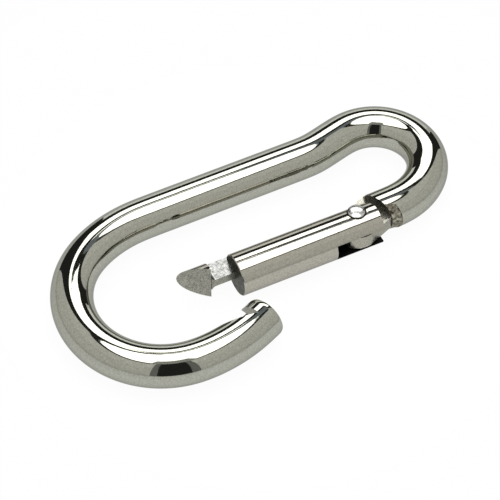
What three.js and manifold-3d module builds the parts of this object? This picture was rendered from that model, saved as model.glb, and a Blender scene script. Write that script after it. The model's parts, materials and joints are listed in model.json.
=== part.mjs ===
// A pear-shaped spring hook for boats: one bent round wire, and a sprung gate that opens inwards.
// Millimetres, +Z up. The hook lies flat: its spine runs along +X towards the eye, and the gate is at -Y.
import * as THREE from 'three';
import { mergeVertices } from 'three/addons/utils/BufferGeometryUtils.js';
import Module from 'manifold-3d';

const wasm = await Module();
wasm.setup();

// ---- Driving dimensions ----
const WIRE = 11;                 // diameter of the wire
const RADIUS = WIRE / 2;
const BAR_RADIUS = 5.6;          // the gate's bar is a little thicker
const SPINE = 48.2;              // straight part of the spine

// From the spine round the bow to the nose, as [radius, sweep in degrees]
const BOW_BENDS = [[34.5, 29.2], [23.1, 149.4], [41.2, 25]];
const NOSE_STRAIGHT = 3.4;

// From the spine through the neck and round the eye to the gate's hinge
const NECK_BEND = [11, 14.2];
const NECK_STRAIGHT = 9.1;
const EYE_BENDS = [[13.7, 153.6], [17.7, 39.4]];
const EYE_END = 7;               // straight wire after the eye, before it is cut back to the shoulder

// The gate, measured along its axis from its pivot, when it is closed and in line with the nose
const GATE_TO_NOSE = 37.6;       // pivot to the nose's end face
const BAR_FRONT = 35.1;          // pivot to the bar's front face
const BAR_TAIL = 5.2;            // pivot to the ears' end face
const BARB = 41.7;               // pivot to the back of the latch head
const TIP = 49.1;                // pivot to the latch head's tip
const AXIS_OFFSET = 1.1;         // the bar's axis is this far outside the pivot
const NECK_HALF = 1.3;           // half the latch neck's thickness
const HEAD_CUT = 0.5;            // the latch head stops this far inside the bar's axis
const OPEN_ANGLE = 24;           // how far the gate stands open, in degrees from closed
const EAR_CUT = 0.6;             // the ears' outer side is faced flat by this much
const EAR_EASE = 0.5;            // radius of the ears' outer corner

const SLOT_HALF = 2.6;           // half the clevis slot's height
const SLOT_END = 8.5;            // pivot to the slot's end wall
const TONGUE_HALF = 2.1;         // half the tongue's thickness
const TONGUE_OUTER = 6;          // radius of the tongue's round end
const TONGUE_ROOT = 6.3;         // pivot to the tongue's outer edge at the shoulder, almost the wire's own
const TONGUE_INNER = 3.7;        // pivot to the tongue's inner edge
const SHOULDER = 6.9;            // pivot to the shoulder, where the full wire begins
const CAM_REACH = 5.5;           // pivot to the tongue's flat nose, with the gate closed
const CAM_RISE = 1;              // how far the nose pushes the plunger, in mm per radian of gate travel

const RELIEF_LENGTH = 2.2;       // ground relief on the outside of the wire, behind the shoulder
const RELIEF_TILT = 30;          // in degrees, deeper towards the shoulder
const RELIEF_RADIUS = 6.5;       // the ground surface is rounder than the wire
const RELIEF_EDGE = 6.7;         // pivot to the ground surface, at the shoulder

const PRONG = 3.5;               // length of the nose's two prongs, which hold the latch head
const POCKET_CLEARANCE = 0.4;
const POCKET_REACH = 8;          // how far inside the pivot the pocket is cut, which clears the wire
const LATCH_SLOT_HALF = 1.6;     // half the gap between the prongs

const RIVET_RADIUS = 1.55;
const RIVET_HEAD_RADIUS = 2.37;
const RIVET_SEAT = 4.62;         // mid-plane to the underside of a rivet head
const RIVET_RIM = 5.5;           // mid-plane to the top of a head's edge
const RIVET_CROWN = 6.16;        // mid-plane to the crown of a head
const FIT_GAP = 0.15;            // clearance round the rivet
const SEAT_GAP = 0.2;

const BORE_RADIUS = 2.5;
const BORE_END = 27;             // pivot to the bottom of the spring's bore
const PLUNGER_RADIUS = 2.3;
const PLUNGER_LENGTH = 6;
const PLUNGER_STEM = [1.2, 3];   // radius and length of the stem that centres the spring
const CONTACT_GAP = 0.3;         // gap between the plunger and the tongue
const SPRING_WIRE = 0.6;
const SPRING_RADIUS = 1.9;       // to the middle of the spring's wire
const SPRING_TURNS = 9;

const WIRE_SIDES = 20;
const WIRE_STEPS = 100;
const ROUND_SIDES = 28;
const ARC_STEPS = 10;
const INVOLUTE_STEP = 0.06;      // in radians
const RIVET_DOME_STEPS = 4;
const SPRING_SIDES = 6;
const SPRING_STEPS = 14;         // per turn
const BEYOND = 2 * WIRE;         // far enough for a cutter to run clear of the part
const OVERLAP = 1;               // how far a cutter or a lug starts inside, so that no two faces coincide
const Z = new THREE.Vector3(0, 0, 1);

// ---- Solids ----
function solidOf(geometry) {
  geometry.deleteAttribute('normal');
  geometry.deleteAttribute('uv');
  const merged = mergeVertices(geometry, 1e-4);
  return new wasm.Manifold(new wasm.Mesh({
    numProp: 3,
    vertProperties: Float32Array.from(merged.attributes.position.array),
    triVerts: Uint32Array.from(merged.index.array),
  }));
}

function geometryOf(solid) {
  const mesh = solid.getMesh();
  const geometry = new THREE.BufferGeometry();
  geometry.setAttribute('position', new THREE.BufferAttribute(mesh.vertProperties, 3));
  geometry.setIndex(new THREE.BufferAttribute(mesh.triVerts, 1));
  geometry.computeVertexNormals();
  return geometry;
}

// A flat outline in X and Y, extruded in Z
function prism(points, low, high) {
  const geometry = new THREE.ExtrudeGeometry(new THREE.Shape(points), {
    depth: high - low,
    bevelEnabled: false,
    curveSegments: ROUND_SIDES,
  });
  return geometry.translate(0, 0, low);
}

function block([x0, x1], [y0, y1], [z0, z1]) {
  const geometry = new THREE.BoxGeometry(x1 - x0, y1 - y0, z1 - z0);
  return geometry.translate((x0 + x1) / 2, (y0 + y1) / 2, (z0 + z1) / 2);
}

// A round bar along X, its axis at height 0 and the given y
function barAlongX(radius, x0, x1, y = 0) {
  const geometry = new THREE.CylinderGeometry(radius, radius, x1 - x0, ROUND_SIDES);
  return geometry.rotateZ(-Math.PI / 2).translate((x0 + x1) / 2, y, 0);
}

function barAlongZ(radius, z0, z1) {
  const geometry = new THREE.CylinderGeometry(radius, radius, z1 - z0, ROUND_SIDES);
  return geometry.rotateX(Math.PI / 2).translate(0, 0, (z0 + z1) / 2);
}

// The points of an arc in the plane, from one angle to another
function arcPoints(centre, radius, from, to, steps) {
  const points = [];
  for (let i = 0; i <= steps; i += 1) {
    const angle = THREE.MathUtils.degToRad(from + (to - from) * i / steps);
    points.push(new THREE.Vector2(
      centre[0] + radius * Math.cos(angle),
      centre[1] + radius * Math.sin(angle),
    ));
  }
  return points;
}

// ---- The wire's route ----
// Walks along straights and bends in the plane. A bend is [radius, sweep], and a positive sweep turns left.
class Route extends THREE.CurvePath {
  constructor(start, heading) {
    super();
    this.at = new THREE.Vector3(...start, 0);
    this.heading = heading;
  }

  ahead() {
    const angle = THREE.MathUtils.degToRad(this.heading);
    return new THREE.Vector3(Math.cos(angle), Math.sin(angle), 0);
  }

  straight(length) {
    const end = this.at.clone().addScaledVector(this.ahead(), length);
    this.add(new THREE.LineCurve3(this.at.clone(), end));
    this.at = end;
    return this;
  }

  bend(radius, sweep) {
    const side = Math.sign(sweep);
    const towards = this.ahead().applyAxisAngle(Z, side * Math.PI / 2);
    const centre = this.at.clone().addScaledVector(towards, radius);
    const from = this.at.clone().sub(centre);
    const arc = new THREE.Curve();
    arc.getPoint = (t, target = new THREE.Vector3()) => {
      const turned = from.clone().applyAxisAngle(Z, THREE.MathUtils.degToRad(sweep * t));
      return target.copy(centre).add(turned);
    };
    this.add(arc);
    this.at = arc.getPoint(1);
    this.heading += sweep;
    return this;
  }
}

// The same route walked the other way
function reversed(route) {
  const back = new THREE.Curve();
  back.getPoint = (t, target) => route.getPointAt(1 - t, target);
  back.getLength = () => route.getLength();
  return back;
}

const bowRoute = new Route([0, 0], 180);
for (const [radius, sweep] of BOW_BENDS) bowRoute.bend(radius, sweep);
bowRoute.straight(NOSE_STRAIGHT);

const wireRoute = new THREE.CurvePath();
const eyeRoute = new Route([0, 0], 0).straight(SPINE).bend(...NECK_BEND).straight(NECK_STRAIGHT);
for (const [radius, sweep] of EYE_BENDS) eyeRoute.bend(radius, -sweep);
eyeRoute.straight(EYE_END);
wireRoute.add(reversed(bowRoute));
for (const stretch of eyeRoute.curves) wireRoute.add(stretch);

// ---- Where the gate is ----
// The gate's own frame has its pivot at the origin, +X along the bar to the latch and +Y away from the spine.
const closedHeading = bowRoute.heading + 180;
const openHeading = closedHeading - OPEN_ANGLE;
const closedAlong = bowRoute.ahead().negate();
const closedOutward = closedAlong.clone().applyAxisAngle(Z, Math.PI / 2);
const pivot = bowRoute.at.clone()
  .addScaledVector(closedAlong, -GATE_TO_NOSE)
  .addScaledVector(closedOutward, -AXIS_OFFSET);
const closedFrame = new THREE.Matrix4()
  .makeRotationZ(THREE.MathUtils.degToRad(closedHeading))
  .setPosition(pivot);

// A cutter or a lug drawn in the closed gate's frame, as a solid in the hook's frame
function atClosedGate(geometry) {
  return solidOf(geometry.applyMatrix4(closedFrame));
}

// How far out the latch head's slanted face is, at a distance along the gate
const headOuter = AXIS_OFFSET - HEAD_CUT;
const headInner = AXIS_OFFSET - BAR_RADIUS;
const headSlope = (headOuter - headInner) / (TIP - BARB);

// ---- Hook body ----
function tongueOutline() {
  const points = [
    new THREE.Vector2(-SHOULDER, TONGUE_ROOT),
    new THREE.Vector2(-SHOULDER - OVERLAP, TONGUE_ROOT - OVERLAP),
    new THREE.Vector2(-SHOULDER - OVERLAP, -TONGUE_INNER),
  ];
  // The nose is an involute, so that a flat-faced plunger moves in step with the gate
  const involute = [];
  for (let angle = 0; angle < 1; angle += INVOLUTE_STEP) {
    const reach = CAM_REACH + CAM_RISE * angle;
    const x = reach * Math.cos(angle) - CAM_RISE * Math.sin(angle);
    const y = -reach * Math.sin(angle) - CAM_RISE * Math.cos(angle);
    if (y < -TONGUE_INNER) break;
    involute.unshift(new THREE.Vector2(x, y));
  }
  points.push(new THREE.Vector2(involute[0].x, -TONGUE_INNER), ...involute);
  const flatTop = THREE.MathUtils.radToDeg(Math.acos(CAM_REACH / TONGUE_OUTER));
  // The round end runs on into the straight edge from the shoulder
  const rootReach = Math.hypot(SHOULDER, TONGUE_ROOT);
  const tangent = Math.atan2(TONGUE_ROOT, -SHOULDER) - Math.acos(TONGUE_OUTER / rootReach);
  points.push(...arcPoints([0, 0], TONGUE_OUTER, flatTop, THREE.MathUtils.radToDeg(tangent), ARC_STEPS));
  return points;
}

// The milled pocket behind the prongs: its floor runs parallel to the latch head's slanted face
function pocketOutline() {
  const front = GATE_TO_NOSE + PRONG;
  const floor = headOuter + headSlope * (BARB - front) + POCKET_CLEARANCE / Math.cos(Math.atan(headSlope));
  const far = front + (floor + POCKET_REACH) / headSlope;
  return [
    new THREE.Vector2(front, floor),
    new THREE.Vector2(front, -POCKET_REACH),
    new THREE.Vector2(far, -POCKET_REACH),
  ];
}

// The outside of the wire is ground away behind the shoulder, deeper towards it
function reliefCutter() {
  const tilt = THREE.MathUtils.degToRad(RELIEF_TILT);
  const axis = RELIEF_EDGE - RELIEF_RADIUS / Math.cos(tilt);
  const kept = barAlongX(RELIEF_RADIUS, -BEYOND, BEYOND).rotateZ(-tilt).translate(-SHOULDER, axis, 0);
  const zone = block([-SHOULDER - RELIEF_LENGTH, -SHOULDER + OVERLAP], [0, BEYOND], [-BEYOND, BEYOND]);
  return atClosedGate(zone).subtract(atClosedGate(kept));
}

function hookBody() {
  const section = new THREE.Shape(arcPoints([0, 0], RADIUS, 0, 360, WIRE_SIDES).slice(0, -1));
  const wire = solidOf(new THREE.ExtrudeGeometry(section, {
    steps: WIRE_STEPS,
    bevelEnabled: false,
    extrudePath: wireRoute,
  }));
  const beyondShoulder = block([-SHOULDER, RADIUS], [-BEYOND / 2, BEYOND / 2], [-BEYOND, BEYOND]);
  const tongue = prism(tongueOutline(), -TONGUE_HALF, TONGUE_HALF);
  const pivotHole = barAlongZ(RIVET_RADIUS + FIT_GAP, -BEYOND, BEYOND);
  const pocket = prism(pocketOutline(), -BEYOND, BEYOND);
  const latchSlot = block(
    [GATE_TO_NOSE - OVERLAP, GATE_TO_NOSE + PRONG + OVERLAP],
    [-BEYOND, AXIS_OFFSET + POCKET_CLEARANCE],
    [-LATCH_SLOT_HALF, LATCH_SLOT_HALF],
  );
  return wire
    .subtract(reliefCutter())
    .subtract(atClosedGate(beyondShoulder))
    .add(atClosedGate(tongue))
    .subtract(atClosedGate(pivotHole))
    .subtract(atClosedGate(pocket))
    .subtract(atClosedGate(latchSlot));
}

// ---- Gate ----
// What a plan view of the bar keeps: the ears' round inner corner and eased outer corner
function gatePlan() {
  const outer = AXIS_OFFSET + BAR_RADIUS;
  const easeCentre = [-BAR_TAIL + EAR_EASE, outer - EAR_CUT - EAR_EASE];
  return [
    new THREE.Vector2(TIP, headInner - OVERLAP),
    new THREE.Vector2(TIP, headInner),
    new THREE.Vector2(BARB, headOuter),
    new THREE.Vector2(BARB, AXIS_OFFSET),
    new THREE.Vector2(BAR_FRONT, AXIS_OFFSET),
    new THREE.Vector2(BAR_FRONT, outer + OVERLAP),
    new THREE.Vector2(0, outer + OVERLAP),
    new THREE.Vector2(0, outer - EAR_CUT),
    ...arcPoints(easeCentre, EAR_EASE, 90, 180, ARC_STEPS / 2),
    ...arcPoints([0, AXIS_OFFSET], BAR_TAIL, 180, 270, ARC_STEPS),
    new THREE.Vector2(0, headInner - OVERLAP),
  ];
}

function gateBar() {
  const bar = solidOf(barAlongX(BAR_RADIUS, -BAR_TAIL - OVERLAP, TIP + OVERLAP, AXIS_OFFSET));
  const plan = solidOf(prism(gatePlan(), -BEYOND, BEYOND));
  const slot = solidOf(block([-BEYOND, SLOT_END], [-BEYOND, BEYOND], [-SLOT_HALF, SLOT_HALF]));
  const bore = solidOf(barAlongX(BORE_RADIUS, 0, BORE_END, AXIS_OFFSET));
  const hole = solidOf(barAlongZ(RIVET_RADIUS + FIT_GAP, -BEYOND, BEYOND));
  let gate = bar.intersect(plan).subtract(slot).subtract(bore).subtract(hole);
  for (const side of [-1, 1]) {
    const outside = [side * NECK_HALF, side * BEYOND].sort((a, b) => a - b);
    const seat = [side * (RIVET_SEAT - FIT_GAP), side * BEYOND].sort((a, b) => a - b);
    gate = gate.subtract(solidOf(block([BAR_FRONT, BARB], [-BEYOND, BEYOND], outside)));
    gate = gate.subtract(solidOf(barAlongZ(RIVET_HEAD_RADIUS + SEAT_GAP, ...seat)));
  }
  return gate;
}

// ---- Pieces inside the gate ----
function pivotRivet() {
  const half = [];
  for (let i = 0; i <= RIVET_DOME_STEPS; i += 1) {
    const angle = Math.PI / 2 * i / RIVET_DOME_STEPS;
    const rise = (RIVET_CROWN - RIVET_RIM) * Math.cos(angle);
    half.push([RIVET_HEAD_RADIUS * Math.sin(angle), RIVET_RIM + rise]);
  }
  half.push([RIVET_HEAD_RADIUS, RIVET_SEAT], [RIVET_RADIUS, RIVET_SEAT]);
  const lower = half.map(([radius, height]) => new THREE.Vector2(radius, -height));
  const upper = half.map(([radius, height]) => new THREE.Vector2(radius, height)).reverse();
  return solidOf(new THREE.LatheGeometry([...lower, ...upper], ROUND_SIDES).rotateX(Math.PI / 2));
}

const openAngle = THREE.MathUtils.degToRad(OPEN_ANGLE);
const plungerFace = CAM_REACH + CAM_RISE * openAngle + CONTACT_GAP;
const plungerBack = plungerFace + PLUNGER_LENGTH;

function springPlunger() {
  const [stemRadius, stemLength] = PLUNGER_STEM;
  const body = barAlongX(PLUNGER_RADIUS, plungerFace, plungerBack, AXIS_OFFSET);
  const stem = barAlongX(stemRadius, plungerBack - OVERLAP, plungerBack + stemLength, AXIS_OFFSET);
  return solidOf(body).add(solidOf(stem));
}

function closingSpring() {
  const from = plungerBack + SPRING_WIRE / 2 + CONTACT_GAP;
  const to = BORE_END - SPRING_WIRE / 2 - CONTACT_GAP;
  const coil = new THREE.Curve();
  coil.getPoint = (t, target = new THREE.Vector3()) => {
    const angle = 2 * Math.PI * SPRING_TURNS * t;
    return target.set(
      from + (to - from) * t,
      AXIS_OFFSET + SPRING_RADIUS * Math.cos(angle),
      SPRING_RADIUS * Math.sin(angle),
    );
  };
  const section = new THREE.Shape(arcPoints([0, 0], SPRING_WIRE / 2, 0, 360, SPRING_SIDES).slice(0, -1));
  return solidOf(new THREE.ExtrudeGeometry(section, {
    steps: SPRING_STEPS * SPRING_TURNS,
    bevelEnabled: false,
    extrudePath: coil,
  }));
}

// ---- Assembly ----
function steel(color, roughness) {
  return new THREE.MeshStandardMaterial({ color, roughness, metalness: 1 });
}

function piece(name, solid, material) {
  const mesh = new THREE.Mesh(geometryOf(solid), material);
  mesh.name = name;
  return mesh;
}

const gateGroup = new THREE.Group();
gateGroup.position.copy(pivot);
gateGroup.rotation.z = THREE.MathUtils.degToRad(openHeading);
gateGroup.add(
  piece('gate', gateBar(), steel(0xc8c6c0, 0.15)),
  piece('pivot_rivet', pivotRivet(), steel(0xd6d4ce, 0.2)),
  piece('spring_plunger', springPlunger(), steel(0xa8a69f, 0.35)),
  piece('closing_spring', closingSpring(), steel(0x8c8a84, 0.3)),
);

const part = new THREE.Group();
part.add(piece('hook_body', hookBody(), steel(0xc8c6c0, 0.12)), gateGroup);

// The origin is under the middle of the whole hook, on the surface it lies on
part.updateMatrixWorld(true);
const box = new THREE.Box3().setFromObject(part);
const middle = box.getCenter(new THREE.Vector3());
part.position.set(-middle.x, -middle.y, -box.min.z);

export default part;
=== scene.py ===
"""A polished spring hook: one bent round wire, and a sprung gate that opens inwards.

The sizes are the CAD part's, in millimetres, and everything is placed by the CAD frame.
"""

import json
import math

import bpy
from mathutils import Matrix, Vector


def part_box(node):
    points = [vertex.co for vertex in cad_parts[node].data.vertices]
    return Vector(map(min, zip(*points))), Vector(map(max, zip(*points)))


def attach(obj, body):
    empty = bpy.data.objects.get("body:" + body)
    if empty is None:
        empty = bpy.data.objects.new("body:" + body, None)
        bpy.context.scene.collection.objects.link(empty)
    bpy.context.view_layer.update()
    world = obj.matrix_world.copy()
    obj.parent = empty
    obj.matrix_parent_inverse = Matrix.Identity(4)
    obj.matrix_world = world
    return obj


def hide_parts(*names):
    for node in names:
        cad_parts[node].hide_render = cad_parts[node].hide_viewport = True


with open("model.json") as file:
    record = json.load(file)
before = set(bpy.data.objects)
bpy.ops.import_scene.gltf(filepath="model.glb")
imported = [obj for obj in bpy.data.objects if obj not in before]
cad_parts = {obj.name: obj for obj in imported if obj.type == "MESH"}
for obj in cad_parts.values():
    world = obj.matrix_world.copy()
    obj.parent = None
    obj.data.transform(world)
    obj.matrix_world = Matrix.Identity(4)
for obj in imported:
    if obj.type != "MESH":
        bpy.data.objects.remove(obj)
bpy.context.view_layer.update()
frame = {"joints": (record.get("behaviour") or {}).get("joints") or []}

# ---- What the frame says ----
MM = 0.001
hook_low, hook_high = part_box("hook_body")
rivet_low, rivet_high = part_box("pivot_rivet")
joints = {joint["name"]: joint for joint in frame["joints"]}
PIVOT = Vector(joints["gate_swing"]["pos_m"])
OPEN_ANGLE = math.radians(joints["gate_swing"]["range_deg"][1])
GATE_ALONG = Vector(joints["plunger_slide"]["axis"])

WIRE = (hook_high.z - hook_low.z) / MM
RADIUS = WIRE / 2
MID_HEIGHT = (hook_high.z + hook_low.z) / 2
RIVET_CROWN = (rivet_high.z - rivet_low.z) / 2 / MM
RIVET_HEAD_RADIUS = (rivet_high.x - rivet_low.x) / 2 / MM

# ---- The wire's route, in mm and degrees ----
SPINE = 48.2  # straight part of the spine
BOW_BENDS = [(34.5, 29.2), (23.1, 149.4), (41.2, 25)]  # radius and sweep, from the spine to the nose
NOSE_STRAIGHT = 3.4
NECK_BEND = (11, 14.2)
NECK_STRAIGHT = 9.1
EYE_BENDS = [(13.7, 153.6), (17.7, 39.4)]  # from the neck to the gate's hinge
EYE_END = 7  # straight wire after the eye, before it is cut back to the shoulder

# ---- The gate, measured from its pivot along its own axis, in mm ----
BAR_RADIUS = 5.6
GATE_TO_NOSE = 37.6  # to the nose's end face, when the gate is closed
BAR_FRONT = 35.1  # to the bar's front face
BAR_TAIL = 5.2  # to the ears' end face
BARB = 41.7  # to the back of the latch head
TIP = 49.1  # to the latch head's tip
AXIS_OFFSET = 1.1  # the bar's axis is this far outside the pivot
NECK_HALF = 1.3  # half the latch neck's thickness
NECK_FILLET = 1.2  # radius where the neck meets the head
HEAD_CUT = 0.5  # the latch head stops this far inside the bar's axis
EAR_CUT = 0.6  # the ears' outer side is faced flat by this much
EAR_EASE = 0.5  # radius of the ears' outer corner
SLOT_HALF = 2.6  # half the clevis slot's height
SLOT_END = 8.5  # to the slot's end wall
BORE_RADIUS = 2.5
BORE_END = 27  # to the bottom of the spring's bore

# ---- The hook's tongue, shoulder and nose, in mm ----
TONGUE_HALF = 2.1  # half the tongue's thickness
TONGUE_OUTER = 6  # radius of the tongue's round end
TONGUE_ROOT = 6.3  # pivot to the tongue's outer edge at the shoulder
TONGUE_INNER = 3.7  # pivot to the tongue's inner edge
SHOULDER = 6.9  # pivot to the shoulder, where the full wire begins
CAM_REACH = 5.5  # pivot to the tongue's flat nose, with the gate closed
CAM_RISE = 1  # how far the nose pushes the plunger, per radian of gate travel
RELIEF_LENGTH = 2.2  # ground relief on the outside of the wire, behind the shoulder
RELIEF_TILT = 30  # in degrees, deeper towards the shoulder
RELIEF_RADIUS = 6.5  # the ground surface is rounder than the wire
RELIEF_EDGE = 6.7  # pivot to the ground surface, at the shoulder
PRONG = 3.5  # length of the two prongs that hold the latch head
POCKET_CLEARANCE = 0.45  # a little more than the CAD part, for the radius behind the head
POCKET_REACH = 8  # how far inside the pivot the pocket is cut
LATCH_SLOT_HALF = 1.6  # half the gap between the prongs

# ---- Small pieces, in mm ----
RIVET_RADIUS = 1.55
RIVET_SEAT = 4.62  # mid-plane to the underside of a rivet head
RIVET_RIM = 5.5  # mid-plane to the top of a head's edge
FIT_GAP = 0.15  # clearance round the rivet
SEAT_GAP = 0.2  # clearance round its heads
PLUNGER_RADIUS = 2.3
PLUNGER_LENGTH = 6
STEM_RADIUS = 1.2
STEM_LENGTH = 3
CONTACT_GAP = 0.3
SPRING_WIRE = 0.6
SPRING_RADIUS = 1.9  # to the middle of the spring's wire
SPRING_TURNS = 9

# ---- Fineness ----
EDGE = 0.2  # chamfer on turned edges, in mm
SPECK = 0.01  # corners closer together than this are merged, in mm
SIDES = 96  # round a full circle
STEP = 0.6  # along the wire, in mm
ARC_STEPS = 24
EASE_STEPS = 4
INVOLUTE_STEPS = 30  # per radian
DOME_STEPS = 12
DOME_START = 4  # the dome's first ring, in degrees from its crown
COIL_STEPS = 32  # per turn
COIL_SIDES = 12
SMOOTHEST_EDGE = math.radians(32)  # sharper edges than this stay crisp
EASE_REACH = 4  # steps each way over which a bend runs into the next
EASE_PASSES = 2
BEYOND = 2 * WIRE  # how far cutters reach past the metal
OVERLAP = 1  # how far a piece runs into the one it joins
SLIVER = 0.01  # keeps two cuts from ending in the same plane
STEEP = 0.85  # the upward part of the normal at a rivet head's rim is less than this, where the painted shade goes
UP = Vector((0, 0, 1))


# ---- Places ----
def placed(along):
    """The gate's frame, in mm, for a gate that points this way: +X to the latch, +Y away from the spine."""
    turn = Matrix.Rotation(math.atan2(along.y, along.x), 4, "Z")
    return Matrix.Translation(PIVOT) @ turn @ Matrix.Scale(MM, 4)


OPEN = placed(GATE_ALONG)
CLOSED = placed(Matrix.Rotation(OPEN_ANGLE, 3, "Z") @ GATE_ALONG)


class Route:
    """Walks along straights and bends in the plane, and keeps (place, heading in radians) every STEP."""

    def __init__(self, heading):
        self.at = Vector((0, 0))
        self.heading = math.radians(heading)
        self.stations = [(self.at.copy(), self.heading)]

    def straight(self, length):
        steps = math.ceil(length / STEP)
        ahead = Vector((math.cos(self.heading), math.sin(self.heading)))
        for _ in range(steps):
            self.at = self.at + ahead * length / steps
            self.stations.append((self.at.copy(), self.heading))

    def bend(self, radius, sweep):
        turn = math.radians(sweep)
        side = math.copysign(1, turn)
        centre = self.at + Vector((-math.sin(self.heading), math.cos(self.heading))) * side * radius
        steps = math.ceil(abs(turn) * radius / STEP)
        for _ in range(steps):
            self.heading += turn / steps
            away = Vector((math.sin(self.heading), -math.cos(self.heading)))
            self.at = centre + away * side * radius
            self.stations.append((self.at.copy(), self.heading))


def wire_route():
    """Stations from the nose round the bow, along the spine and round the eye, in metres."""
    bow = Route(180)
    for radius, sweep in BOW_BENDS:
        bow.bend(radius, sweep)
    bow.straight(NOSE_STRAIGHT)
    eye = Route(0)
    eye.straight(SPINE)
    eye.bend(*NECK_BEND)
    eye.straight(NECK_STRAIGHT)
    for radius, sweep in EYE_BENDS:
        eye.bend(radius, -sweep)
    eye.straight(EYE_END)
    stations = [(at, heading - math.pi) for at, heading in reversed(bow.stations[1:])] + eye.stations
    left = min(at.x for at, _ in stations)
    top = max(at.y for at, _ in stations)
    corner = Vector((hook_low.x / MM + RADIUS - left, hook_high.y / MM - RADIUS - top))
    for _ in range(EASE_PASSES):
        stations = [eased(stations, index) for index in range(len(stations))]
    return [((at + corner) * MM, heading) for at, heading in stations]


def eased(stations, index):
    """The mean of a station and those around it, so that bends run into each other without a jump."""
    reach = min(EASE_REACH, index, len(stations) - 1 - index)
    near = stations[index - reach : index + reach + 1]
    at = sum((place for place, _ in near), Vector((0, 0))) / len(near)
    return at, sum(heading for _, heading in near) / len(near)


# ---- Meshes ----
def mesh_object(name, points, faces, material, smooth=True):
    mesh = bpy.data.meshes.new(name)
    mesh.from_pydata(points, [], faces)
    mesh.materials.append(material)
    if smooth:
        mesh.shade_smooth()
    else:
        mesh.shade_flat()
    made = bpy.data.objects.new(name, mesh)
    bpy.context.scene.collection.objects.link(made)
    return made


def rings_to_faces(rings, sides):
    faces = [tuple(reversed(range(sides))), tuple(range((rings - 1) * sides, rings * sides))]
    for ring in range(rings - 1):
        for side in range(sides):
            after = (side + 1) % sides
            low, high = ring * sides, (ring + 1) * sides
            faces.append((low + side, low + after, high + after, high + side))
    return faces


def sweep(name, stations, material):
    """The wire: a circle carried along the stations, with its end edges chamfered."""
    ends = {0: RADIUS - EDGE, len(stations) - 1: RADIUS - EDGE}
    points = []
    for index, (at, heading) in enumerate(stations):
        across = Vector((-math.sin(heading), math.cos(heading), 0))
        radius = ends.get(index, RADIUS) * MM
        for side in range(SIDES):
            angle = 2 * math.pi * side / SIDES
            centre = Vector((at.x, at.y, MID_HEIGHT))
            points.append(centre + across * radius * math.cos(angle) + UP * radius * math.sin(angle))
    return mesh_object(name, points, rings_to_faces(len(stations), SIDES), material)


def turned(name, profile, place, material, axis="X", offset=0.0):
    """A turned solid about the X or Z axis. The profile is (radius, distance along the axis), and rises."""
    points = []
    for radius, along in profile:
        for side in range(SIDES):
            angle = 2 * math.pi * side / SIDES
            across, up = radius * math.cos(angle), radius * math.sin(angle)
            point = (along, offset + across, up) if axis == "X" else (across, offset + up, along)
            points.append(place @ Vector(point))
    return mesh_object(name, points, rings_to_faces(len(profile), SIDES), material)


def prism(name, outline, low, high, place, material):
    """A flat outline in the gate's plane, anticlockwise, from one height to another."""
    points = [place @ Vector((x, y, low)) for x, y in outline]
    points += [place @ Vector((x, y, high)) for x, y in outline]
    return mesh_object(name, points, rings_to_faces(2, len(outline)), material, smooth=False)


def block(name, x, y, z, place, material):
    outline = [(x[0], y[0]), (x[1], y[0]), (x[1], y[1]), (x[0], y[1])]
    return prism(name, outline, z[0], z[1], place, material)


def arc(centre, radius, start, end, steps=ARC_STEPS):
    """Points of an arc in the plane, with angles in degrees."""
    angles = [math.radians(start + (end - start) * step / steps) for step in range(steps + 1)]
    return [(centre[0] + radius * math.cos(a), centre[1] + radius * math.sin(a)) for a in angles]


def combine(target, operation, *others):
    """Booleans the others into the target, one after another, and removes them."""
    for other in others:
        modifier = target.modifiers.new("shape", "BOOLEAN")
        modifier.operation = operation
        modifier.solver = "MANIFOLD"
        modifier.material_mode = "TRANSFER"
        modifier.object = other
        bake(target)
        bpy.data.objects.remove(other)
    return target


def bake(target):
    """Replaces the mesh by what its modifiers make of it."""
    evaluated = target.evaluated_get(bpy.context.evaluated_depsgraph_get())
    mesh = bpy.data.meshes.new_from_object(evaluated)
    target.modifiers.clear()
    target.data = mesh


def welded(target):
    """Merges the corners that cuts leave too close together."""
    weld = target.modifiers.new("weld", "WELD")
    weld.merge_threshold = SPECK * MM
    bake(target)
    return target


def finished(target, body, slot, *nodes):
    """Keeps the edges crisp, and puts the piece on its body in place of its CAD nodes."""
    target.data.set_sharp_from_angle(angle=SMOOTHEST_EDGE)
    # The large faces keep their own normals, and only the narrow ones between them are rounded off
    weighted = target.modifiers.new("normals", "WEIGHTED_NORMAL")
    weighted.mode = "FACE_AREA"
    weighted.weight = 100  # only the area counts
    weighted.keep_sharp = True
    bake(target)
    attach(target, body)
    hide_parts(*nodes)
    return target


# ---- Materials ----
EDGE_TINT = (0.55, 0.55, 0.55)  # how much of the glancing reflection is left
# Size and depth of the marks in a surface, in mm
WAVES = (3, 0.008)
GRAIN = (0.35, 0.0006)
SCRATCHES = (0.12, 0.0003)
TOOL_MARKS = (0.25, 0.002)
SCRATCH_STRETCH = (9, 1, 1)
# Sizes of the patches of lighter and darker metal, in mm
MOTTLE = 0.4
BLOTCHES = 1.3
SMUDGES = 0.8
BLOTCH_DARKEST = 0.7
# How far the roughness strays from its value
HAZE_MOST = 1.8
ROUGH_LEAST = 0.8
ROUGH_MOST = 1.2


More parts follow.
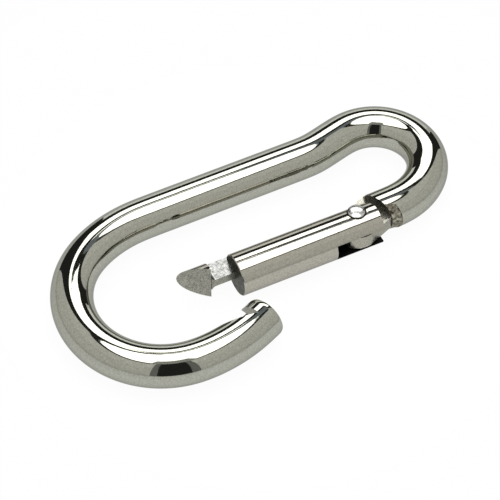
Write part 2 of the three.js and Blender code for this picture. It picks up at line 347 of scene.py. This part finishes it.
class Nodes:
    """A metal's node tree, built up one node at a time."""

    def __init__(self, name):
        self.material = bpy.data.materials.new(name)
        self.material.use_nodes = True
        self.tree = self.material.node_tree
        self.shader = self.tree.nodes["Principled BSDF"]
        self.shader.inputs["Metallic"].default_value = 1
        self.shader.inputs["Specular Tint"].default_value = (*EDGE_TINT, 1)
        self.place = self.add("ShaderNodeTexCoord").outputs["Object"]

    def add(self, kind, **inputs):
        node = self.tree.nodes.new(kind)
        for name, value in inputs.items():
            self.feed(node.inputs[name.replace("_", " ")], value)
        return node

    def feed(self, socket, value):
        if isinstance(value, bpy.types.NodeSocket):
            self.tree.links.new(value, socket)
        else:
            socket.default_value = value

    def noise(self, size, detail=2.0, stretch=(1, 1, 1)):
        """Noise from 0 to 1 whose features are about size mm across, longer along the stretched axes."""
        mapping = self.add("ShaderNodeMapping", Vector=self.place)
        mapping.inputs["Scale"].default_value = [1 / (size * MM * along) for along in stretch]
        texture = self.add("ShaderNodeTexNoise", Vector=mapping.outputs[0], Scale=1.0, Detail=detail)
        return texture.outputs["Fac"]

    def spread(self, fac, low, high, start=0.3, end=0.7):
        """Maps start..end of fac onto low..high."""
        node = self.add("ShaderNodeMapRange", Value=fac)
        for name, value in (("From Min", start), ("From Max", end), ("To Min", low), ("To Max", high)):
            node.inputs[name].default_value = value
        return node.outputs["Result"]

    def between(self, fac, dark, light):
        node = self.add("ShaderNodeMix")
        node.data_type = "RGBA"
        self.feed(node.inputs["Factor"], fac)
        node.inputs["A"].default_value = (*dark, 1)
        node.inputs["B"].default_value = (*light, 1)
        return node.outputs["Result"]

    def multiply(self, first, second):
        node = self.add("ShaderNodeMath")
        node.operation = "MULTIPLY"
        self.feed(node.inputs[0], first)
        self.feed(node.inputs[1], second)
        return node.outputs[0]

    def bump(self, height, depth, under=None):
        """Raises the surface by up to depth mm, on top of another bump."""
        node = self.add("ShaderNodeBump", Height=height, Distance=depth * MM, Strength=1.0)
        if under is not None:
            self.feed(node.inputs["Normal"], under)
        return node.outputs["Normal"]

    def finish(self, color, roughness, normal):
        self.feed(self.shader.inputs["Base Color"], color)
        self.feed(self.shader.inputs["Roughness"], roughness)
        self.feed(self.shader.inputs["Normal"], normal)
        return self.material


def polished(name, dark, light, haze):
    """Polished wire: faint mottling, a slight waviness left by drawing, and fine scratches."""
    made = Nodes(name)
    mottle = made.spread(made.noise(MOTTLE, detail=4), 0, 1)
    wavy = made.bump(made.noise(WAVES[0], detail=2), WAVES[1])
    grained = made.bump(made.noise(GRAIN[0], detail=3), GRAIN[1], wavy)
    scratches = made.noise(SCRATCHES[0], detail=1, stretch=SCRATCH_STRETCH)
    scratched = made.bump(scratches, SCRATCHES[1], grained)
    rough = made.spread(made.noise(WAVES[0], detail=4), haze, haze * HAZE_MOST)
    return made.finish(made.between(mottle, dark, light), rough, scratched)


def milled(name, dark, light, rough, grain, depth):
    """A cut face. Its grain is about grain mm across, and the cutter left it up to depth mm deep."""
    made = Nodes(name)
    fine = made.noise(grain, detail=4)
    blotches = made.noise(BLOTCHES, detail=3)
    tone = made.multiply(made.spread(fine, 0, 1), made.spread(blotches, BLOTCH_DARKEST, 1))
    shaped = made.bump(blotches, depth, made.bump(fine, depth))
    uneven = made.spread(fine, rough * ROUGH_LEAST, rough * ROUGH_MOST)
    return made.finish(made.between(tone, dark, light), uneven, shaped)


def turned_steel(name, dark, light, rough):
    """A small turned piece, with the tool's fine marks."""
    made = Nodes(name)
    marked = made.bump(made.noise(TOOL_MARKS[0], detail=2), TOOL_MARKS[1])
    tone = made.spread(made.noise(SMUDGES, detail=4), 0, 1)
    return made.finish(made.between(tone, dark, light), rough, marked)


WIRE_STEEL = polished("polished_wire", (0.31, 0.312, 0.268), (0.445, 0.447, 0.39), 0.028)
BAR_STEEL = polished("polished_bar", (0.32, 0.308, 0.265), (0.455, 0.438, 0.383), 0.04)
FACE_STEEL = milled("sawn_face", (0.03, 0.03, 0.027), (0.21, 0.21, 0.19), 0.35, 0.5, 0.01)
HEAD_STEEL = milled("head_face", (0.05, 0.05, 0.043), (0.58, 0.58, 0.5), 0.36, 0.22, 0.006)
PRONG_STEEL = milled("prong_face", (0.2, 0.2, 0.18), (0.46, 0.46, 0.41), 0.3, 0.4, 0.008)
NECK_STEEL = milled("neck_face", (0.15, 0.15, 0.143), (0.48, 0.48, 0.465), 0.2, 0.7, 0.006)
TONGUE_STEEL = milled("tongue_face", (0.26, 0.255, 0.215), (0.5, 0.49, 0.42), 0.3, 0.4, 0.006)
# The walls of the slots, bore, holes and seats are painted near-black: painted shade inside the recesses
SLOT_SHADE_STEEL = milled("slot_shade_face", (0.01, 0.01, 0.01), (0.04, 0.04, 0.04), 0.5, 0.3, 0.006)
GROUND_STEEL = milled("ground_face", (0.01, 0.009, 0.007), (0.5, 0.47, 0.37), 0.3, 0.8, 0.05)
RIVET_STEEL = turned_steel("rivet_head", (0.42, 0.42, 0.40), (0.55, 0.55, 0.53), 0.24)
# Near-black rim of a rivet head: painted shade of the gap round it
RIM_SHADE_STEEL = turned_steel("rivet_rim_shade", (0.02, 0.02, 0.018), (0.12, 0.12, 0.11), 0.3)
INNER_STEEL = turned_steel("turned_plunger", (0.22, 0.22, 0.21), (0.34, 0.34, 0.32), 0.3)
COIL_STEEL = turned_steel("spring_coil", (0.16, 0.16, 0.15), (0.28, 0.28, 0.26), 0.28)


# ---- The hook ----
HEAD_OUTER = AXIS_OFFSET - HEAD_CUT
HEAD_INNER = AXIS_OFFSET - BAR_RADIUS
HEAD_SLOPE = (HEAD_OUTER - HEAD_INNER) / (TIP - BARB)


def tongue_outline():
    """The tongue between the ears, with an involute nose so that the plunger moves in step with the gate."""
    involute = []
    for step in range(INVOLUTE_STEPS):
        angle = step / INVOLUTE_STEPS
        reach = CAM_REACH + CAM_RISE * angle
        x = reach * math.cos(angle) - CAM_RISE * math.sin(angle)
        y = -reach * math.sin(angle) - CAM_RISE * math.cos(angle)
        if y > -TONGUE_INNER:
            involute.insert(0, (x, y))
    flat_top = math.acos(CAM_REACH / TONGUE_OUTER)
    # The round end runs on into the straight edge from the shoulder
    root_reach = math.hypot(SHOULDER, TONGUE_ROOT)
    tangent = math.atan2(TONGUE_ROOT, -SHOULDER) - math.acos(TONGUE_OUTER / root_reach)
    outline = [(-SHOULDER, TONGUE_ROOT), (-SHOULDER - OVERLAP, TONGUE_ROOT - OVERLAP)]
    outline += [(-SHOULDER - OVERLAP, -TONGUE_INNER), (involute[0][0], -TONGUE_INNER), *involute]
    return outline + arc((0, 0), TONGUE_OUTER, math.degrees(flat_top), math.degrees(tangent))


def pocket_outline():
    """The pocket behind the prongs: its floor runs along the latch head's slanted face."""
    front = GATE_TO_NOSE + PRONG
    clearance = POCKET_CLEARANCE / math.cos(math.atan(HEAD_SLOPE))
    floor = HEAD_OUTER + HEAD_SLOPE * (BARB - front) + clearance
    far = front + (floor + POCKET_REACH) / HEAD_SLOPE
    return [(front, floor), (front, -POCKET_REACH), (far, -POCKET_REACH)]


def relief_cutter():
    """What the grinder takes off the outside of the wire behind the shoulder."""
    tilt = math.radians(RELIEF_TILT)
    axis = RELIEF_EDGE - RELIEF_RADIUS / math.cos(tilt)
    place = CLOSED @ Matrix.Translation((-SHOULDER, axis, 0)) @ Matrix.Rotation(-tilt, 4, "Z")
    kept = turned("kept", [(RELIEF_RADIUS, x) for x in (-BEYOND, BEYOND)], place, GROUND_STEEL)
    length = (-SHOULDER - RELIEF_LENGTH, -SHOULDER + OVERLAP)
    zone = block("zone", length, (0, BEYOND), (-BEYOND, BEYOND), CLOSED, GROUND_STEEL)
    return combine(zone, "DIFFERENCE", kept)


def make_hook():
    hook = sweep("hook_wire", wire_route(), WIRE_STEEL)
    beyond_shoulder = block(
        "shoulder", (-SHOULDER, RADIUS), (-WIRE, WIRE), (-BEYOND, BEYOND), CLOSED, FACE_STEEL
    )
    tongue = prism("tongue", tongue_outline(), -TONGUE_HALF, TONGUE_HALF, CLOSED, TONGUE_STEEL)
    hole = turned("hole", [(RIVET_RADIUS + FIT_GAP, z) for z in (-BEYOND, BEYOND)], CLOSED, SLOT_SHADE_STEEL, "Z")
    pocket = prism("pocket", pocket_outline(), -BEYOND, BEYOND, CLOSED, PRONG_STEEL)
    latch_slot = block(
        "latch_slot",
        (GATE_TO_NOSE - OVERLAP, GATE_TO_NOSE + PRONG + OVERLAP),
        (-BEYOND, AXIS_OFFSET + POCKET_CLEARANCE),
        (-LATCH_SLOT_HALF, LATCH_SLOT_HALF),
        CLOSED,
        SLOT_SHADE_STEEL,
    )
    combine(hook, "DIFFERENCE", relief_cutter(), beyond_shoulder)
    combine(hook, "UNION", tongue)
    combine(hook, "DIFFERENCE", hole, pocket, latch_slot)
    return finished(welded(hook), "hook", "polished_wire", "hook_body")


# ---- The gate ----
def bar_outline():
    """The bar in plan: its flat front, and the ears' eased outer corner and round inner corner."""
    outer = AXIS_OFFSET + BAR_RADIUS
    ease_centre = (EAR_EASE - BAR_TAIL, outer - EAR_CUT - EAR_EASE)
    outline = [(TIP, HEAD_INNER - OVERLAP), (TIP, outer + OVERLAP)]
    outline += [(0, outer + OVERLAP), (0, outer - EAR_CUT)]
    outline += arc(ease_centre, EAR_EASE, 90, 180, EASE_STEPS)
    outline += arc((0, AXIS_OFFSET), BAR_TAIL, 180, 270)
    return outline + [(0, HEAD_INNER - OVERLAP)]


def latch_outline():
    """The latch in plan: a neck, and a head with a slanted face that rides over the prongs."""
    return [
        (BAR_FRONT - OVERLAP, HEAD_INNER - OVERLAP),
        (TIP, HEAD_INNER - OVERLAP),
        (TIP, HEAD_INNER),
        (BARB, HEAD_OUTER),
        (BARB - SLIVER, AXIS_OFFSET),
        (BAR_FRONT - OVERLAP, AXIS_OFFSET),
    ]


def neck_cutter(side):
    """What the mill takes off above (side 1) or below (side -1) the neck, with its radius behind the head."""
    start = BAR_FRONT - 2 * OVERLAP
    outline = [(start, NECK_HALF)]
    outline += arc((BARB - NECK_FILLET, NECK_HALF + NECK_FILLET), NECK_FILLET, 270, 360)
    outline += [(BARB, BEYOND), (start, BEYOND)]
    upright = Matrix.Rotation(math.radians(90), 4, "X")
    flip = Matrix.Rotation(0 if side > 0 else math.pi, 4, "X")
    return prism("neck", outline, -BEYOND, BEYOND, OPEN @ flip @ upright, NECK_STEEL)


def make_gate():
    chamfered = [
        (BAR_RADIUS, -BAR_TAIL - OVERLAP),
        (BAR_RADIUS, BAR_FRONT - EDGE),
        (BAR_RADIUS - OVERLAP - EDGE, BAR_FRONT + OVERLAP),
    ]
    gate = turned("gate_bar", chamfered, OPEN, BAR_STEEL, offset=AXIS_OFFSET)
    plan = prism("plan", bar_outline(), -BEYOND, BEYOND, OPEN, BAR_STEEL)
    latch_length = (BAR_FRONT - OVERLAP, TIP + OVERLAP)
    latch = turned("latch", [(BAR_RADIUS, x) for x in latch_length], OPEN, BAR_STEEL, offset=AXIS_OFFSET)
    latch_plan = prism("latch_plan", latch_outline(), -BEYOND, BEYOND, OPEN, HEAD_STEEL)
    front = block("front", (BAR_FRONT, TIP), (-BEYOND, BEYOND), (-BEYOND, BEYOND), OPEN, FACE_STEEL)
    slot = block("slot", (-BEYOND, SLOT_END), (-BEYOND, BEYOND), (-SLOT_HALF, SLOT_HALF), OPEN, SLOT_SHADE_STEEL)
    bore = turned("bore", [(BORE_RADIUS, x) for x in (0, BORE_END)], OPEN, SLOT_SHADE_STEEL, offset=AXIS_OFFSET)
    hole = turned("hole", [(RIVET_RADIUS + FIT_GAP, z) for z in (-BEYOND, BEYOND)], OPEN, SLOT_SHADE_STEEL, "Z")
    combine(latch, "INTERSECT", latch_plan)
    combine(latch, "DIFFERENCE", neck_cutter(1), neck_cutter(-1))
    combine(gate, "INTERSECT", plan)
    combine(gate, "DIFFERENCE", front)
    combine(gate, "UNION", latch)
    combine(gate, "DIFFERENCE", slot, bore, hole)
    for side in (-1, 1):
        heights = sorted((side * (RIVET_SEAT - FIT_GAP), side * BEYOND))
        seat = [(RIVET_HEAD_RADIUS + SEAT_GAP, z) for z in heights]
        combine(gate, "DIFFERENCE", turned("seat", seat, OPEN, SLOT_SHADE_STEEL, "Z"))
    return finished(welded(gate), "gate", "gate_bar", "gate")


# ---- The pieces in the gate ----
def make_rivet():
    """A riveted pin with a low domed head on each side."""
    half = []
    for step in range(DOME_STEPS + 1):
        angle = math.radians(DOME_START + (90 - DOME_START) * step / DOME_STEPS)
        rise = (RIVET_CROWN - RIVET_RIM) * math.cos(angle)
        half.append((RIVET_HEAD_RADIUS * math.sin(angle), RIVET_RIM + rise))
    half += [(RIVET_HEAD_RADIUS, RIVET_SEAT), (RIVET_RADIUS, RIVET_SEAT)]
    profile = [(radius, -height) for radius, height in half]
    profile += [(radius, height) for radius, height in reversed(half)]
    rivet = turned("pivot_pin", profile, OPEN, RIVET_STEEL, "Z")
    # A head's rim is painted dark: painted shade of the gap round it
    rivet.data.materials.append(RIM_SHADE_STEEL)
    for face in rivet.data.polygons:
        face.material_index = 1 if abs(face.normal.z) < STEEP else 0
    return finished(rivet, "gate", "rivet_steel", "pivot_rivet")


PLUNGER_FACE = CAM_REACH + CAM_RISE * OPEN_ANGLE + CONTACT_GAP
PLUNGER_BACK = PLUNGER_FACE + PLUNGER_LENGTH


def make_plunger():
    """Pushes on the tongue's nose, and its stem centres the spring."""
    stem_end = PLUNGER_BACK + STEM_LENGTH
    profile = [
        (PLUNGER_RADIUS - EDGE, PLUNGER_FACE),
        (PLUNGER_RADIUS, PLUNGER_FACE + EDGE),
        (PLUNGER_RADIUS, PLUNGER_BACK - EDGE),
        (PLUNGER_RADIUS - EDGE, PLUNGER_BACK),
        (STEM_RADIUS, PLUNGER_BACK),
        (STEM_RADIUS, stem_end - EDGE),
        (STEM_RADIUS - EDGE, stem_end),
    ]
    plunger = turned("gate_plunger", profile, OPEN, INNER_STEEL, offset=AXIS_OFFSET)
    return finished(plunger, "plunger", "inner_steel", "spring_plunger")


def make_spring():
    """A round wire wound evenly from the plunger to the bottom of the bore."""
    start = PLUNGER_BACK + SPRING_WIRE / 2 + CONTACT_GAP
    end = BORE_END - SPRING_WIRE / 2 - CONTACT_GAP
    rings = COIL_STEPS * SPRING_TURNS + 1
    points = []
    for ring in range(rings):
        share = ring / (rings - 1)
        angle = 2 * math.pi * ring / COIL_STEPS
        centre = Vector((start + (end - start) * share, AXIS_OFFSET, 0))
        out = Vector((0, math.cos(angle), math.sin(angle)))
        for side in range(COIL_SIDES):
            turn = 2 * math.pi * side / COIL_SIDES
            reach = SPRING_RADIUS + SPRING_WIRE / 2 * math.cos(turn)
            shift = Vector((-SPRING_WIRE / 2 * math.sin(turn), 0, 0))
            points.append(OPEN @ (centre + out * reach + shift))
    coil = mesh_object("closing_coil", points, rings_to_faces(rings, COIL_SIDES), COIL_STEEL)
    return finished(coil, "gate", "spring_wire", "closing_spring")


make_hook()
make_gate()
make_rivet()
make_plunger()
make_spring()

# ---- The camera ----
VIEW_AZIMUTH = math.radians(-26.58)
VIEW_ELEVATION = math.radians(50.72)
VIEW_DISTANCE = 56.55 * WIRE * MM
VIEW_TARGET = Vector((-0.33 * WIRE * MM, 0.046 * WIRE * MM, MID_HEIGHT))
LENS = 174.8
SENSOR = 36
NEAREST = 0.05

AHEAD = Vector((-math.sin(VIEW_AZIMUTH), math.cos(VIEW_AZIMUTH), 0))
RIGHT = Vector((math.cos(VIEW_AZIMUTH), math.sin(VIEW_AZIMUTH), 0))


def make_camera():
    camera = bpy.data.objects.new("camera", bpy.data.cameras.new("camera"))
    back = UP * math.sin(VIEW_ELEVATION) - AHEAD * math.cos(VIEW_ELEVATION)
    camera.location = VIEW_TARGET + back * VIEW_DISTANCE
    camera.rotation_euler = (-back).to_track_quat("-Z", "Y").to_euler()
    camera.data.lens = LENS
    camera.data.sensor_width = SENSOR
    camera.data.clip_start = NEAREST
    bpy.context.scene.collection.objects.link(camera)
    bpy.context.scene.camera = camera


make_camera()

# ---- The studio: a pale floor inside a light tent ----
TENT = 0.9  # the tent's radius, in metres
PANEL_STEP = 4  # the size of a panel's facets, in degrees
FLOOR_SIZE = 12
FLOOR_GLOW = 0.95
FLOOR_ALBEDO = 0.05
# Rings round the piece: inner and outer radius in metres, and strength
FLOOR_SHADES = ((0.07, 0.11, 0.94), (0.11, 0.17, 0.89), (0.17, 0.3, 0.84), (0.3, 0.9, 0.79))
RING_HEIGHT = 0.0005
# Strengths of the lights, the cloth and the openings
BRIGHT = 3.6
CLOTH = 0.82
GAP = 0.03
# Bands of the walls: lower and upper edge in degrees, and share of the cloth's strength
WALL_SHADES = ((0, 2, 0.76), (2, 5, 0.84), (5, 9, 0.9), (9, 15, 0.96), (15, 42, 1), (42, 62, 1.1))
WARM = (1, 0.99, 0.96)
COOL = (0.85, 0.96, 1.1)
WORLD = 0.95


def glowing(name, strength, albedo=0.0, tint=(1, 1, 1)):
    material = bpy.data.materials.new(name)
    material.use_nodes = True
    shader = material.node_tree.nodes["Principled BSDF"]
    shader.inputs["Base Color"].default_value = (albedo, albedo, albedo, 1)
    shader.inputs["Specular IOR Level"].default_value = 0
    shader.inputs["Roughness"].default_value = 1
    shader.inputs["Emission Color"].default_value = (*tint, 1)
    shader.inputs["Emission Strength"].default_value = strength
    return material


def card(name, sideways, heights, strength, depth=1.0, tint=(1, 1, 1)):
    """A curved panel of the tent, which the camera doesn't see.

    sideways is its two edges in degrees to the right of straight ahead, heights its edges in degrees above
    the horizon, and depth its distance as a share of the tent's radius.
    """
    columns = max(2, math.ceil((sideways[1] - sideways[0]) / PANEL_STEP)) + 1
    rows = max(2, math.ceil((heights[1] - heights[0]) / PANEL_STEP)) + 1
    points, faces = [], []
    for row in range(rows):
        height = math.radians(heights[0] + (heights[1] - heights[0]) * row / (rows - 1))
        for column in range(columns):
            side = math.radians(sideways[0] + (sideways[1] - sideways[0]) * column / (columns - 1))
            level = AHEAD * math.cos(side) + RIGHT * math.sin(side)
            direction = level * math.cos(height) + UP * math.sin(height)
            points.append(direction * TENT * depth)
    for row in range(rows - 1):
        for column in range(columns - 1):
            first = row * columns + column
            faces.append((first, first + 1, first + columns + 1, first + columns))
    made = mesh_object(name, points, faces, glowing(name, strength, tint=tint))
    made.visible_camera = False


def floor_ring(inner, outer, strength):
    """A flat ring on the floor, which the camera doesn't see."""
    directions = arc((0, 0), 1, 0, 360 - 360 / SIDES, SIDES - 1)
    points = [(reach * x, reach * y, RING_HEIGHT) for reach in (inner, outer) for x, y in directions]
    faces = []
    for side in range(SIDES):
        after = (side + 1) % SIDES
        faces.append((side, SIDES + side, SIDES + after, after))
    ring = mesh_object("floor_ring", points, faces, glowing("floor_ring", strength))
    ring.visible_camera = False


def make_studio():
    half = FLOOR_SIZE / 2
    corners = [(-half, -half, 0), (half, -half, 0), (half, half, 0), (-half, half, 0)]
    floor = mesh_object("floor", corners, [(0, 1, 2, 3)], glowing("floor", FLOOR_GLOW, FLOOR_ALBEDO))
    # The floor fades away from the piece
    for inner, outer, shade in FLOOR_SHADES:
        floor_ring(inner, outer, shade)
    # The lit roof, and a second light in the wall ahead
    card("roof", (-180, 180), (65, 90), BRIGHT)
    card("back_light", (-30, 42), (32, 60), BRIGHT)
    card("over_back_light", (-8, 44), (60, 65), BRIGHT)
    # Cloth walls, which darken towards the floor
    for low, high, shade in WALL_SHADES:
        card(f"left_wall_{low}", (-168, -47), (low, high), CLOTH * shade, tint=WARM)
        card(f"right_wall_{low}", (44, 150), (low, high), CLOTH * shade, tint=WARM)
    card("back_cloth", (-22, 27), (0, 18), 1.35)
    # Openings and frame bars, which are dark
    card("left_corner", (-47, -22), (0, 62), GAP, 0.99)
    card("right_corner", (30, 44), (0, 53), GAP, 0.99)
    card("behind", (157, 186), (0, 62), GAP, 0.99)
    card("behind_left", (186, 192), (0, 62), 0.25, 0.99)
    card("behind_right", (150, 157), (0, 62), 0.25, 0.99)
    card("above_behind", (140, 200), (62, 76), 0.5, 0.98)
    card("crossbar", (-30, 30), (16, 34), GAP, 0.99)
    card("front_rail", (-8, 8), (52.5, 59), GAP, 0.98)
    card("front_rail_right", (8, 44), (53, 58), GAP, 0.98)
    card("front_shelf", (-8, 8), (60.5, 64.5), 0.4, 0.98)
    card("front_shelf_right", (8, 44), (58, 64.5), 0.3, 0.98, COOL)
    card("front_rail_left", (-32, -8), (59, 65.5), GAP, 0.98)
    card("left_rail", (-168, -30), (61, 65), GAP, 0.98)
    card("right_rail", (44, 150), (61.5, 64.5), GAP, 0.98)
    world = bpy.data.worlds.new("world")
    world.use_nodes = True
    world.node_tree.nodes["Background"].inputs["Color"].default_value = (WORLD, WORLD, WORLD, 1)
    bpy.context.scene.world = world
    bpy.context.scene.view_settings.view_transform = "Standard"


make_studio()
